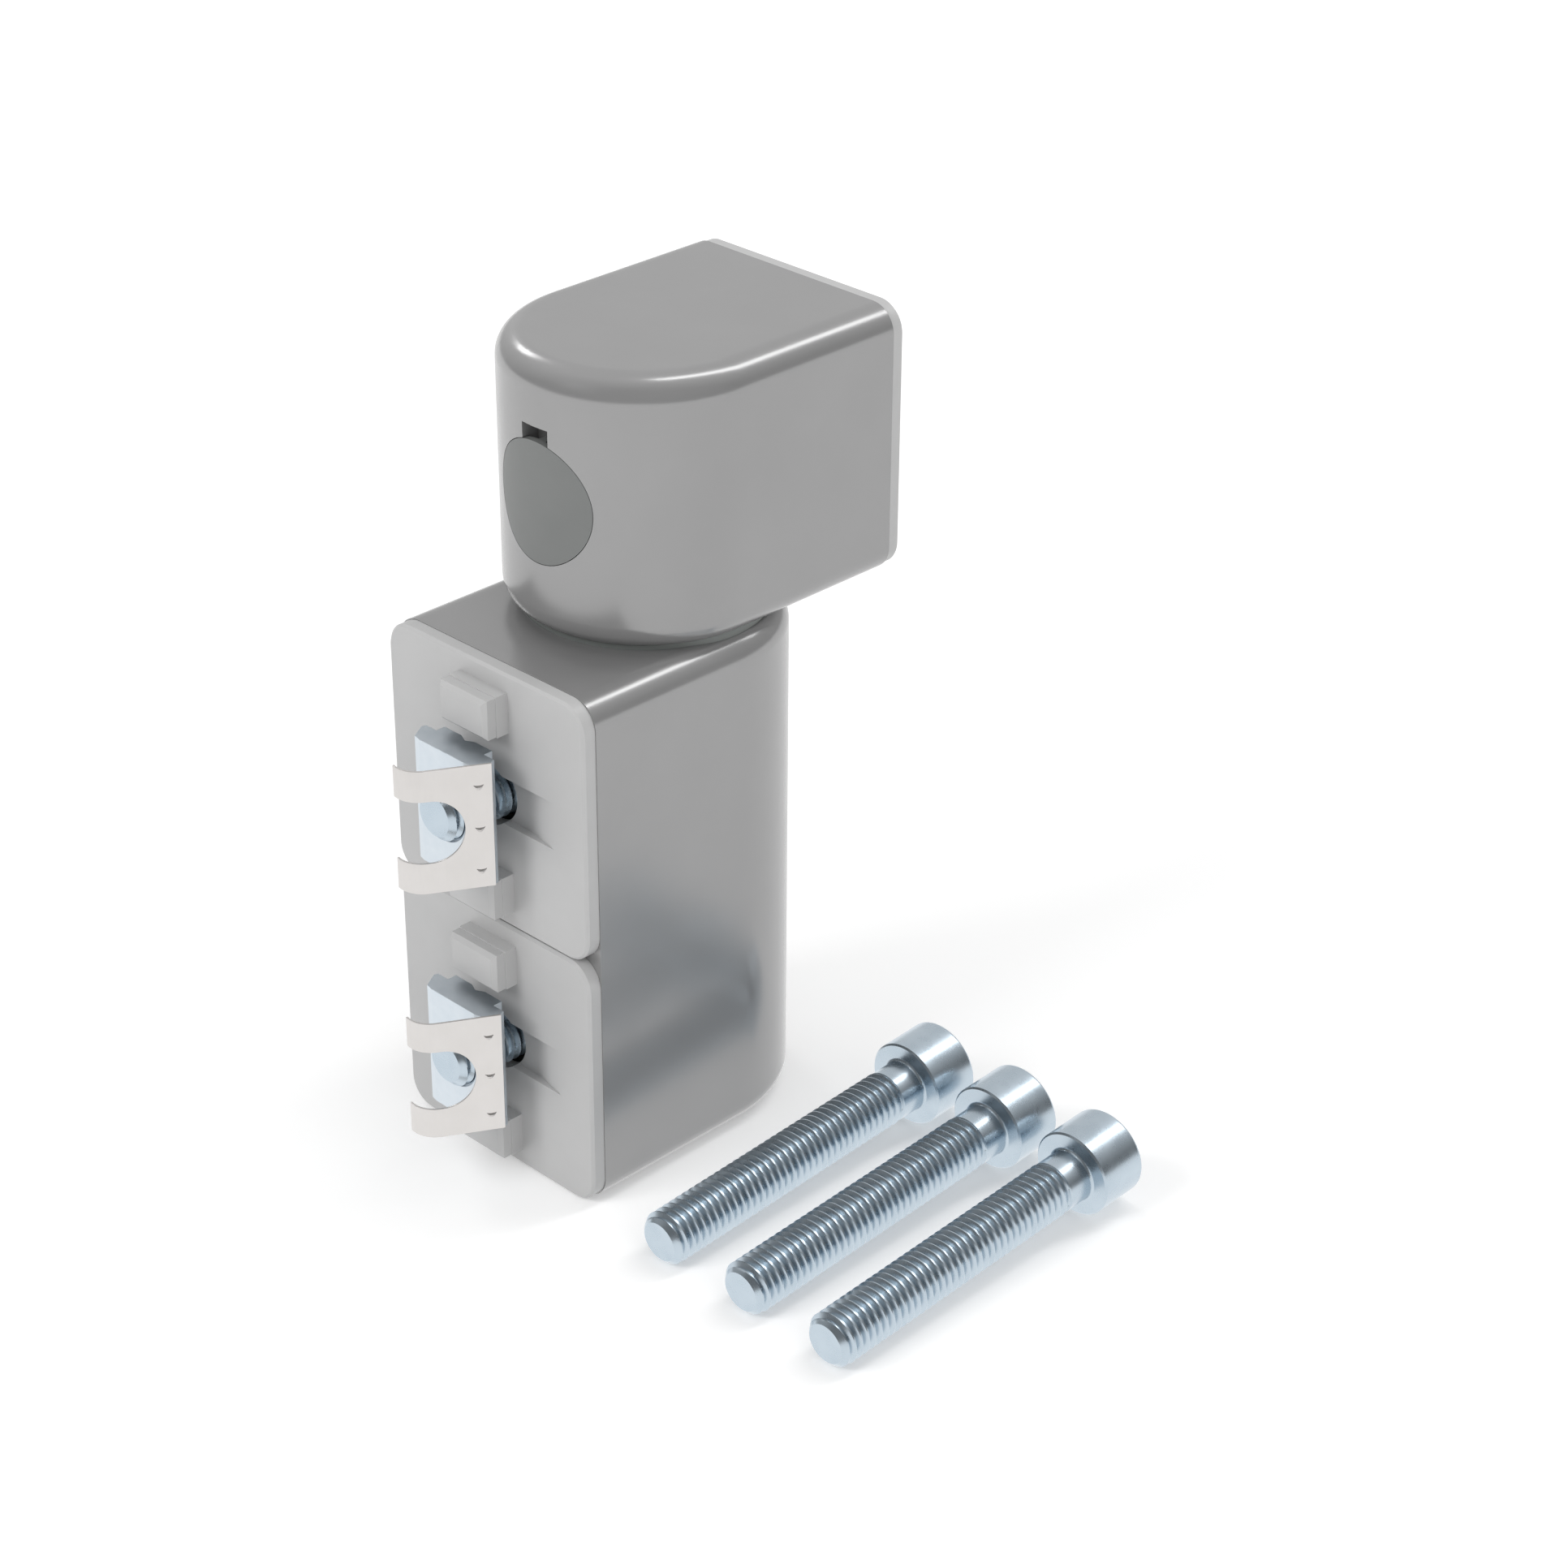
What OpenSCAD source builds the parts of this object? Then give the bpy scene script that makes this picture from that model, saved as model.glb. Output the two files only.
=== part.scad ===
// Friction joint for two T-slot profiles. Two die-cast housings turn on a friction sleeve,
// and each is bolted to its profile through a keyed adapter plate.
// The pivot axis is Z. The lower housing stands at z = 0 and its flat back faces -Y.

/* [Housings] */
// Side of one profile square, which is also the width of the housings
square_w = 40; // [39:0.5:43]
// Distance from the pivot axis to the flat back
back_depth = 28.2; // [27.5:0.1:31]
// Fillet round the top and bottom rims
rim_r = 4; // [2:0.1:4.5]
// Gap between the two housings
joint_gap = 0.3; // [0.2:0.05:0.6]

/* [Ribbed back] */
// Depth of the cells
cell_depth = 22; // [16:0.5:23]
// Width of the upright channel that takes the upper and lower keys of a plate
channel_w = 9; // [8.8:0.1:9.4]
// Height of the level channel that takes the side keys of a plate
side_channel_w = 9.6; // [9:0.1:10.4]
// Wall beyond the ends of the channels
channel_end_wall = 1.7; // [1.2:0.1:2]
// Rib between a pocket and the channel beside it
rib_t = 1.45; // [1.2:0.05:1.8]
// Wall outside the pockets
pocket_wall = 3.6; // [3:0.1:4.2]
// Rib between the pockets of two squares
shared_rib_t = 2; // [1.4:0.1:3]
// Inside corner radius of the pockets
pocket_r = 0.8; // [0.4:0.1:1.4]
// Rounding of the ribs where the channels cross
rib_corner_r = 2; // [1:0.1:2.4]
// Thickness of the braces across the channels
brace_t = 1.7; // [1.2:0.1:2.2]
// Distance from the screw axis to the middle of a brace
brace_at = 6.9; // [6.5:0.1:8]
// Depth of the braces below the flat back
brace_sink = 3.2; // [2:0.1:5]
// Wall left between the cells and the sleeve groove
cell_wall = 2; // [1.2:0.1:2.4]

/* [Friction sleeve] */
// Distance from the screw axes to the ends of the sleeve
sleeve_end_dist = 5.15; // [5:0.05:7]
// Distance from the round front of the housings to the middle of the sleeve
sleeve_inset = 2.3; // [2.2:0.05:2.6]
// How far the middle stands out over the ends, on the radius
barrel_rise = 0.55; // [0.2:0.05:0.8]
// Wall in the middle
sleeve_t = 3.5; // [3:0.1:3.7]
// Length of the chamfer at the ends
sleeve_chamfer = 1; // [0.5:0.1:1.5]
// Running clearance of the sleeve in the housings, on the radius
running_fit = 0.05; // [0.02:0.01:0.08]
// Clearance past each end of the sleeve
sleeve_end_clear = 0.3; // [0.2:0.05:0.6]
// Clearance between the sleeve and the hub inside it, on the radius
hub_clear = 0.2; // [0.15:0.05:0.4]
// Wall of the hub
hub_wall = 3.3; // [2.5:0.1:5]
// Depth of the hollow in the hub
hub_hollow_depth = 14; // [10:0.5:14.5]

/* [Screws] */
// Thread diameter
screw_d = 8; // [8:0.1:8.2]
// Length under the head of the fitted screws
screw_len = 45; // [44:0.5:50]
// Length under the head of the spare screws
spare_len = 50; // [46:1:60]
// Head diameter
head_d = 13; // [12.5:0.1:13.2]
// Head height
head_h = 8; // [7:0.1:8.2]
// Bevel on the head
head_bevel = 0.5; // [0.3:0.1:1]
// Width across the flats of the hexagon socket
socket_w = 6; // [5:0.5:7]
// Depth of the hexagon socket
socket_depth = 4; // [3:0.5:5]
// Diameter of the plain neck under the head
neck_d = 7.8; // [7.2:0.1:8]
// Length of the plain neck under the head
neck_len = 4.5; // [3:0.5:8]
// Bevel at the tip of the thread
tip_bevel = 1; // [0.5:0.1:1.25]
// Distance between the spare screws
spare_pitch = 16; // [14:0.5:24]
// Distance from the side of the housing to the first spare screw
spare_gap = 16; // [12:0.5:40]

/* [Screw bores] */
// Depth of the screw heads below the round front
head_sink = 7; // [6.7:0.1:8]
// Diameter of the bore for the screw head
head_bore_d = 15.5; // [15.2:0.1:16]
// Diameter of the hole for the screw
screw_hole_d = 9; // [8.6:0.1:9]
// Washer diameter
washer_d = 13.4; // [13:0.1:15]
// Washer hole
washer_hole_d = 8.4; // [8.3:0.1:8.8]
// Washer thickness
washer_t = 1; // [0.8:0.1:1]

/* [Caps] */
// Diameter of the seat of a cap
cap_seat_d = 18; // [17.6:0.1:19]
// Depth of the seat of a cap
cap_seat_depth = 1.2; // [1:0.1:1.5]
// Diameter of the step inside the seat
lip_d = 16.6; // [16.2:0.1:17]
// Depth of the step inside the seat
lip_depth = 0.5; // [0.3:0.1:0.8]
// Clearance round a cap
cap_clear = 0.1; // [0.05:0.05:0.2]
// Clearance behind the face of a cap
cap_back_clear = 0.2; // [0.1:0.05:0.3]
// Wall of the skirt on the back of a cap
skirt_t = 1.1; // [0.8:0.1:1.4]
// Clearance between the snap ribs of the skirt and the bore
snap_clear = 0.1; // [0.05:0.05:0.2]
// Height of the snap ribs on the skirt
snap_h = 0.6; // [0.4:0.1:1]
// Clearance between the skirt and the parts behind it
skirt_clear = 0.5; // [0.3:0.1:0.8]
// Clearance between the deep sides of the skirt and the end of the sleeve
skirt_side_clear = 0.95; // [0.4:0.05:2]
// Width of the slot for prising a cap off
pry_w = 5; // [3:0.1:7]
// Distance from the screw axis to the end of that slot
pry_end = 11; // [10:0.1:14]
// Depth of that slot, from the face of the housing
pry_depth = 3; // [2.4:0.1:3.4]
// Width of the locating peg of a cap
peg_w = 1.4; // [1:0.1:2]
// Thickness of the locating peg
peg_t = 0.9; // [0.6:0.1:1.2]
// Distance from the edge of a cap to its peg
peg_inset = 0.3; // [0.2:0.1:0.6]

/* [Adapter plates] */
// Thickness of a plate
plate_t = 2.2; // [2:0.1:3]
// Gap round a plate within its square
plate_gap = 0.1; // [0.05:0.05:0.3]
// Corner radius of a plate
plate_r = 4.2; // [2:0.1:6]
// Bevel round the profile side of a plate
plate_bevel = 0.4; // [0.2:0.1:0.8]
// Hole for the screw in a plate
plate_hole_d = 9.6; // [9:0.1:10]
// Clearance of the keys in the channels, on each side
key_clear = 0.3; // [0.1:0.05:0.4]
// Clearance of the side keys in the level channel, on each side
side_key_clear = 1; // [0.3:0.1:1.4]
// Height of the keys on the housing side
key_h = 6.6; // [4:0.1:7]
// Thickness of the upper and lower keys on the housing side
key_t = 4.2; // [3:0.1:5]
// Thickness of the side keys
side_key_t = 4.7; // [3:0.1:5]
// Clearance past the ends of the keys in the channels
key_end_clear = 0.7; // [0.4:0.1:1.8]
// Bevel at the tips of those keys
key_bevel = 0.5; // [0.3:0.1:0.8]
// How far the lower half of every key stands out round its upper half
key_step = 0.12; // [0.08:0.02:0.2]
// Width of the profile slot
slot_w = 10; // [9.5:0.1:10.4]
// Clearance of a key in the profile slot, both sides together
slot_clear = 0.3; // [0.1:0.05:0.6]
// Height of the keys on the profile side
slot_key_h = 4.1; // [3:0.1:4.4]
// Length of the keys on the profile side
slot_key_len = 6.2; // [4:0.1:6.6]
// Distance from the edge of a plate to the outer end of those keys
slot_key_inset = 2.7; // [2:0.1:3.9]
// Bevel at the tips of those keys
slot_key_bevel = 0.6; // [0.3:0.1:1]
// Depth of the sunk field round the screw hole
field_depth = 1.2; // [0.6:0.1:1.4]
// Height of the sunk field
field_w = 7.3; // [6:0.1:9]
// Length of the sunk field, ramps included
field_len = 27; // [22:0.5:32]
// Length of its level floor
field_floor_len = 16; // [12:0.5:18]

/* [Slot nuts] */
// Thickness of the slot lips that a nut clamps against its plate
slot_lip = 4.5; // [4.3:0.1:5]
// Length of a nut
nut_len = 19; // [16:0.5:22]
// Width of a nut at its shoulders
nut_w = 14; // [13:0.1:14.2]
// Width of a nut at its widest line
nut_widest_w = 14.4; // [14.3:0.1:15.2]
// Height of a nut
nut_h = 4.9; // [4.6:0.1:5.2]
// Clearance of the neck of a nut in the slot, both sides together
neck_clear = 0.2; // [0.1:0.05:0.5]
// Height of the neck of a nut
neck_h = 1.5; // [1.2:0.1:1.8]
// Height of the widest line of a nut
nut_widest_h = 2.2; // [2:0.1:2.5]
// Height of the bevel at the foot of a nut
foot_bevel = 0.3; // [0.2:0.1:0.6]
// Width of that bevel
foot_bevel_w = 1.2; // [0.4:0.1:2]
// Slope of the flanks of a nut and of the spring that lies on one
flank_angle = 60; // [55:1:65]
// Width of the groove along the neck
groove_w = 2.8; // [2:0.1:3.6]
// Depth of the groove along the neck
groove_depth = 0.65; // [0.3:0.05:1]
// Clearance of the thread, on the radius
thread_clear = 0.05; // [0.02:0.01:0.1]
// Bevel round the threaded hole
thread_bevel = 0.4; // [0.2:0.1:0.6]

/* [Nut springs] */
// Thickness of the spring sheet
spring_t = 0.3; // [0.2:0.05:0.5]
// Length of the straight leaf
leaf_len = 9.2; // [8:0.1:11]
// Inside radius of the curl at the end of the leaf
curl_r = 3.6; // [3:0.1:5]
// Turn of the curl
curl_angle = 75; // [60:1:85]
// Width of the cut-out for the screw
spring_slot_w = 9.5; // [9:0.1:11]
// Distance from the root of the leaf to the cut-out
spring_root_len = 3.9; // [3.2:0.1:4.4]

/* [Hidden] */
$fn = 96;
eps = 0.01;
past = 1;
housing_r = square_w / 2;
lower_h = 2 * square_w;
upper_base = lower_h + joint_gap;
sleeve_len = square_w + joint_gap - 2 * sleeve_end_dist;
sleeve_mid_d = square_w - 2 * sleeve_inset;
sleeve_end_d = sleeve_mid_d - 2 * barrel_rise;
hub_d = sleeve_mid_d - 2 * (sleeve_t + hub_clear);
hub_hollow_d = hub_d - 2 * hub_wall;
station_z = [square_w / 2, 3 * square_w / 2, upper_base + square_w / 2];
groove_len = sleeve_len / 2 - joint_gap / 2 + sleeve_end_clear;
channel_end = square_w / 2 - channel_end_wall;
plate_side = square_w - 2 * plate_gap;
plate_back = back_depth + plate_t;
key_reach = channel_end - key_end_clear;
slot_key_reach = plate_side / 2 - slot_key_inset;
nut_face = plate_back + slot_lip - neck_h;
neck_w = slot_w - neck_clear;
seat_depth = housing_r - head_sink - head_h - washer_t;
head_seat = seat_depth + washer_t;
cap_r = cap_seat_d / 2 - cap_clear;
cap_inner_r = housing_r - cap_seat_depth + cap_back_clear;
snap_r = head_bore_d / 2 - snap_clear;
skirt_r = snap_r - snap_h;
skirt_side_reach = sleeve_end_dist - skirt_side_clear;
spare_count = 3;

die_cast = "#9f9f9f";
light_plastic = "#b8b8b8";
dark_plastic = "#777c79";
zinc = "#b6c2cb";
washer_zinc = "#cfd5d8";
spring_steel = "#dcd9d5";

// Rounded rectangle about the origin
module round_rect(w, h, r) {
    for (x = [-1, 1], y = [-1, 1])
        translate([x * (w / 2 - r), y * (h / 2 - r)])
            circle(r);
    square([w - 2 * r, h], center = true);
    square([w, h - 2 * r], center = true);
}

// Stands a flat shape up in the XZ plane at y = from and gives it depth towards -Y
module stand_up(from, depth) {
    translate([0, from, 0])
        rotate([90, 0, 0])
            linear_extrude(depth)
                children();
}

// Turns a shape that was made along Z so that it runs along +Y from y = from
module along_y(from) {
    translate([0, from, 0])
        rotate([-90, 0, 0])
            children();
}

// Everything outside radius r about the pivot axis, cut to the plug of diameter d
module curved_plug(d, r) {
    intersection() {
        along_y(0)
            cylinder(d = d, h = housing_r + past);
        difference() {
            translate([0, 0, -square_w / 2])
                cylinder(r = housing_r + 2 * past, h = square_w);
            translate([0, 0, -square_w])
                cylinder(r = r, h = 2 * square_w);
        }
    }
}

// D-shaped block: straight sides and a half-round front, with rounded rims
module housing_block(h) {
    stand_up(0, back_depth)
        translate([0, h / 2])
            round_rect(square_w, h, rim_r);
    rotate_extrude(angle = 180)
        intersection() {
            translate([0, h / 2])
                round_rect(square_w, h, rim_r);
            square([square_w, h]);
        }
}

// Pocket in one corner of a square, longer where it meets the next square
module pocket_outline(side, level, shared) {
    inner = [channel_w / 2 + rib_t, side_channel_w / 2 + rib_t];
    outer = [square_w / 2 - pocket_wall, square_w / 2 - (shared ? shared_rib_t / 2 : pocket_wall)];
    size = outer - inner;
    translate([side * (inner[0] + size[0] / 2), level * (inner[1] + size[1] / 2)])
        round_rect(size[0], size[1], pocket_r);
}

// Openings of the cells of one square, seen from the back
module cell_outline(shared_up, shared_down) {
    up = shared_up ? square_w / 2 : channel_end;
    down = shared_down ? square_w / 2 : channel_end;
    for (side = [-1, 1]) {
        pocket_outline(side, 1, shared_up);
        pocket_outline(side, -1, shared_down);
    }
    translate([-channel_w / 2, -down])
        square([channel_w, up + down]);
    square([2 * channel_end, side_channel_w], center = true);
    for (x = [-1, 1], z = [-1, 1])
        scale([x, z])
            translate([channel_w / 2, side_channel_w / 2])
                difference() {
                    square(rib_corner_r);
                    translate([rib_corner_r, rib_corner_r])
                        circle(rib_corner_r);
                }
}

// Braces across the channels, sunk below the flat back
module cell_braces() {
    depth = cell_depth - brace_sink + past;
    for (way = [-1, 1])
        stand_up(-back_depth + brace_sink + depth, depth) {
            translate([0, way * brace_at])
                square([channel_w + rib_t, brace_t], center = true);
            translate([way * brace_at, 0])
                square([brace_t, side_channel_w + rib_t], center = true);
        }
}

// The cells of one square
module cells(shared_up, shared_down) {
    difference() {
        stand_up(-back_depth + cell_depth, cell_depth + past)
            cell_outline(shared_up, shared_down);
        cell_braces();
    }
}

// Bore for the screw and its head
module screw_bore() {
    along_y(-back_depth)
        cylinder(d = screw_hole_d, h = back_depth + seat_depth + eps);
    along_y(seat_depth)
        cylinder(d = head_bore_d, h = housing_r);
}

// Seat of a cap, with a slot to prise the cap off
module cap_seat() {
    curved_plug(cap_seat_d, housing_r - cap_seat_depth);
    curved_plug(lip_d, housing_r - cap_seat_depth - lip_depth);
    translate([-pry_w / 2, housing_r - pry_depth, -pry_end])
        cube([pry_w, pry_depth + past, pry_end - head_bore_d / 2 + past]);
}

// Groove for one half of the sleeve, below the middle plane of the joint
module sleeve_groove() {
    bottom = -joint_gap / 2 - groove_len;
    end_r = sleeve_end_d / 2 + running_fit;
    mid_r = sleeve_mid_d / 2 + running_fit;
    rotate_extrude()
        polygon([[hub_d / 2, bottom], [end_r, bottom], [end_r, sleeve_chamfer - sleeve_len / 2],
            [mid_r, 0], [mid_r, past], [hub_d / 2, past]]);
}

// One housing, with its joint face on top
module housing(squares) {
    h = squares * square_w;
    groove_r = sleeve_mid_d / 2 + running_fit;
    difference() {
        housing_block(h);
        for (i = [0 : squares - 1])
            translate([0, 0, (i + 0.5) * square_w]) {
                screw_bore();
                cap_seat();
            }
        difference() {
            for (i = [0 : squares - 1])
                translate([0, 0, (i + 0.5) * square_w])
                    cells(i < squares - 1, i > 0);
            translate([0, 0, h - groove_len - cell_wall])
                cylinder(r = groove_r + cell_wall, h = groove_len + cell_wall + past);
        }
        translate([0, 0, h + joint_gap / 2])
            sleeve_groove();
        translate([0, 0, h - hub_hollow_depth])
            cylinder(d = hub_hollow_d, h = hub_hollow_depth + past);
    }
}

// Barrel-shaped tube about the middle plane of the joint
module sleeve() {
    half = sleeve_len / 2;
    bore_r = hub_d / 2 + hub_clear;
    mid_r = sleeve_mid_d / 2;
    end_r = sleeve_end_d / 2;
    rim = end_r - sleeve_chamfer;
    rotate_extrude()
        polygon([[bore_r, -half], [rim, -half], [end_r, sleeve_chamfer - half], [mid_r, 0],
            [end_r, half - sleeve_chamfer], [rim, half], [bore_r, half]]);
}

// Key that stands on z = 0: its lower half is w by t, and its upper half is a step smaller and
// has a bevel round its tip
module key(w, t, h, bevel) {
    intersection() {
        rotate([90, 0, 0])
            linear_extrude(t, center = true)
                key_outline(w, h, bevel);
        rotate([90, 0, 90])
            linear_extrude(w, center = true)
                key_outline(t, h, bevel);
    }
}

module key_outline(w, h, bevel) {
    foot = w / 2;
    side = foot - key_step;
    polygon([[-foot, -eps], [foot, -eps], [foot, h / 2], [side, h / 2], [side, h - bevel],
        [side - bevel, h], [bevel - side, h], [-side, h - bevel], [-side, h / 2], [-foot, h / 2]]);
}

// Square plate with rounded corners and a bevel round its profile side
module plate_blank() {
    half = plate_side / 2;
    corner_at = half - plate_r;
    bevel_from = plate_t - plate_bevel;
    for (turn = [0 : 90 : 270])
        rotate([0, turn, 0])
            translate([corner_at, -back_depth, corner_at])
                rotate([90, 0, 0])
                    rotate_extrude(angle = 90)
                        polygon([[0, 0], [plate_r, 0], [plate_r, bevel_from],
                            [plate_r - plate_bevel, plate_t], [0, plate_t]]);
    for (turn = [0, 90])
        rotate([0, turn, 0])
            translate([0, -back_depth, 0])
                linear_extrude(2 * corner_at, center = true)
                    polygon([[-half, 0], [half, 0], [half, -bevel_from],
                        [half - plate_bevel, -plate_t], [plate_bevel - half, -plate_t],
                        [-half, -bevel_from]]);
}

// Adapter plate of one square, with keys on both sides
module adapter_plate() {
    key_w = channel_w - 2 * key_clear;
    side_key_w = side_channel_w - 2 * side_key_clear;
    slot_key_w = slot_w - slot_clear;
    difference() {
        union() {
            plate_blank();
            for (way = [-1, 1]) {
                translate([0, 0, way * (key_reach - key_t / 2)])
                    along_y(-back_depth)
                        key(key_w, key_t, key_h, key_bevel);
                translate([way * (key_reach - side_key_t / 2), 0, 0])
                    along_y(-back_depth)
                        key(side_key_t, side_key_w, key_h, key_bevel);
                translate([0, -plate_back, way * (slot_key_reach - slot_key_len / 2)])
                    rotate([90, 0, 0])
                        key(slot_key_w, slot_key_len, slot_key_h, slot_key_bevel);
            }
        }
        along_y(-plate_back - past)
            cylinder(d = plate_hole_d, h = plate_t + 2 * past);
        translate([0, -plate_back, 0])
            linear_extrude(field_w, center = true)
                polygon([[-field_len / 2, -past], [field_len / 2, -past], [field_len / 2, 0],
                    [field_floor_len / 2, field_depth], [-field_floor_len / 2, field_depth],
                    [-field_len / 2, 0]]);
    }
}

// Socket head cap screw along Z, with the underside of its head at z = 0
module cap_screw(length) {
    head_r = head_d / 2;
    thread_r = screw_d / 2;
    difference() {
        rotate_extrude()
            polygon([[0, -length], [thread_r - tip_bevel, -length], [thread_r, tip_bevel - length],
                [thread_r, -neck_len], [neck_d / 2, -neck_len], [neck_d / 2, 0], [head_r, 0],
                [head_r, head_h - head_bevel], [head_r - head_bevel, head_h], [0, head_h]]);
        translate([0, 0, head_h - socket_depth])
            cylinder(d = socket_w / cos(30), h = socket_depth + past, $fn = 6);
    }
}

module mounted_screw() {
    color(zinc)
        along_y(head_seat)
            cap_screw(screw_len);
}

// Screw that lies on the ground on the rim of its head and the tip of its thread
module lying_screw(length) {
    tilt = atan((head_d - screw_d) / 2 / (length - tip_bevel));
    translate([0, length / 2 - head_h, head_d / 2 * cos(tilt)])
        rotate([tilt - 90, 0, 0])
            cap_screw(length);
}

module washer() {
    color(washer_zinc)
        along_y(seat_depth)
            difference() {
                cylinder(d = washer_d, h = washer_t);
                translate([0, 0, -past])
                    cylinder(d = washer_hole_d, h = washer_t + 2 * past);
            }
}

// Slot nut: a profile along the slot, with a threaded hole for the screw
module slot_nut() {
    neck = neck_w / 2;
    shoulder = nut_w / 2;
    widest = nut_widest_w / 2;
    foot_h = nut_h - foot_bevel;
    foot = widest - (foot_h - nut_widest_h) / tan(flank_angle);
    sole = foot - foot_bevel_w;
    hole_r = screw_d / 2 + thread_clear;
    color(zinc)
        translate([0, -nut_face, 0])
            difference() {
                linear_extrude(nut_len, center = true)
                    polygon([[groove_w / 2, 0], [neck, 0], [neck, -neck_h], [shoulder, -neck_h],
                        [widest, -nut_widest_h], [foot, -foot_h], [sole, -nut_h],
                        [-sole, -nut_h], [-foot, -foot_h], [-widest, -nut_widest_h],
                        [-shoulder, -neck_h], [-neck, -neck_h], [-neck, 0], [-groove_w / 2, 0],
                        [0, -groove_depth]]);
                along_y(-nut_h - past)
                    cylinder(r = hole_r, h = nut_h + 2 * past);
                along_y(-nut_h - eps)
                    cylinder(r1 = hole_r + thread_bevel, r2 = hole_r, h = thread_bevel);
                along_y(-thread_bevel - groove_depth)
                    cylinder(r1 = hole_r, r2 = hole_r + thread_bevel + groove_depth,
                        h = thread_bevel + groove_depth + eps);
            }
}

// Leaf spring: a straight leaf on one flank of the nut, and a curl at its free end
module nut_spring() {
    widest = nut_widest_w / 2;
    slot_r = spring_slot_w / 2;
    big = 2 * curl_r;
    end_angle = 90 - curl_angle;
    color(spring_steel)
        translate([widest, -nut_face - nut_widest_h, 0])
            rotate([0, 0, 180 + flank_angle])
                difference() {
                    linear_extrude(nut_len, center = true) {
                        square([leaf_len, spring_t]);
                        translate([leaf_len, -curl_r])
                            intersection() {
                                difference() {
                                    circle(curl_r + spring_t);
                                    circle(curl_r);
                                }
                                polygon([[0, 0], [-eps, big], [big, big],
                                    [big * cos(end_angle), big * sin(end_angle)]]);
                            }
                    }
                    translate([spring_root_len + slot_r, -big, 0])
                        rotate([-90, 0, 0]) {
                            cylinder(r = slot_r, h = big + past);
                            translate([0, -slot_r, 0])
                                cube([leaf_len + big, spring_slot_w, big + past]);
                        }
                }
}

// Snap-in cap: a curved face, a hollow skirt with two snap ribs, and a locating peg
module snap_cap() {
    sleeve_clear_r = sleeve_mid_d / 2 + skirt_clear;
    skirt_back = head_seat + head_h + skirt_clear;
    skirt_len = cap_inner_r - skirt_back + cap_back_clear;
    color(dark_plastic) {
        intersection() {
            curved_plug(2 * cap_r, cap_inner_r);
            translate([0, 0, -square_w / 2])
                cylinder(r = housing_r, h = square_w);
        }
        intersection() {
            translate([0, 0, -square_w / 2])
                cylinder(r = cap_inner_r + eps, h = square_w);
            difference() {
                along_y(skirt_back)
                    union() {
                        cylinder(r = skirt_r, h = skirt_len + past);
                        for (side = [-1, 1])
                            translate([side * (skirt_r - snap_h), 0, 0])
                                cylinder(r = 2 * snap_h, h = skirt_len + past);
                    }
                along_y(0)
                    cylinder(r = skirt_r - skirt_t, h = housing_r + past);
                for (way = [-1, 1])
                    translate([0, 0, way * (skirt_side_reach + square_w / 2)])
                        intersection() {
                            cube([square_w, 3 * square_w, square_w], center = true);
                            translate([0, 0, -square_w])
                                cylinder(r = sleeve_clear_r, h = 2 * square_w);
                        }
            }
        }
        translate([-peg_w / 2, housing_r - pry_depth + cap_back_clear, peg_inset - cap_r])
            cube([peg_w, pry_depth - cap_back_clear - cap_seat_depth / 2, peg_t]);
    }
}

// Puts a fitting at one of the three squares, turned with the flat back of its housing
module at_station(i) {
    translate([0, 0, station_z[i]])
        rotate([0, 0, i == 2 ? 180 : 0])
            children();
}

// The same for a cap, which is turned over with the upper housing
module cap_at_station(i) {
    translate([0, 0, station_z[i]])
        rotate([i == 2 ? 180 : 0, 0, 0])
            children();
}

module lower_housing() {
    color(die_cast)
        housing(2);
}

module upper_housing() {
    color(die_cast)
        translate([0, 0, upper_base + square_w])
            rotate([180, 0, 0])
                housing(1);
}

module friction_sleeve() {
    color(dark_plastic)
        translate([0, 0, lower_h + joint_gap / 2])
            sleeve();
}

module plate_at(i) {
    color(light_plastic)
        at_station(i)
            adapter_plate();
}

module spare_screws() {
    color(zinc)
        for (i = [0 : spare_count - 1])
            translate([housing_r + spare_gap + i * spare_pitch, 0, 0])
                lying_screw(spare_len);
}

lower_housing();
upper_housing();
friction_sleeve();
plate_at(0);  // adapter_plate_bottom
plate_at(1);  // adapter_plate_middle
plate_at(2);  // adapter_plate_top
at_station(0) washer();  // washer_bottom
at_station(1) washer();  // washer_middle
at_station(2) washer();  // washer_top
at_station(0) mounted_screw();  // screw_bottom
at_station(1) mounted_screw();  // screw_middle
at_station(2) mounted_screw();  // screw_top
spare_screws();
at_station(0) slot_nut();  // slot_nut_bottom
at_station(1) slot_nut();  // slot_nut_middle
at_station(2) slot_nut();  // slot_nut_top
at_station(0) nut_spring();  // nut_spring_bottom
at_station(1) nut_spring();  // nut_spring_middle
at_station(2) nut_spring();  // nut_spring_top
cap_at_station(0) snap_cap();  // cap_bottom
cap_at_station(1) snap_cap();  // cap_middle
cap_at_station(2) snap_cap();  // cap_top
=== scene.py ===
import math
import bmesh
import bpy
from mathutils import Matrix, Vector


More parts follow.
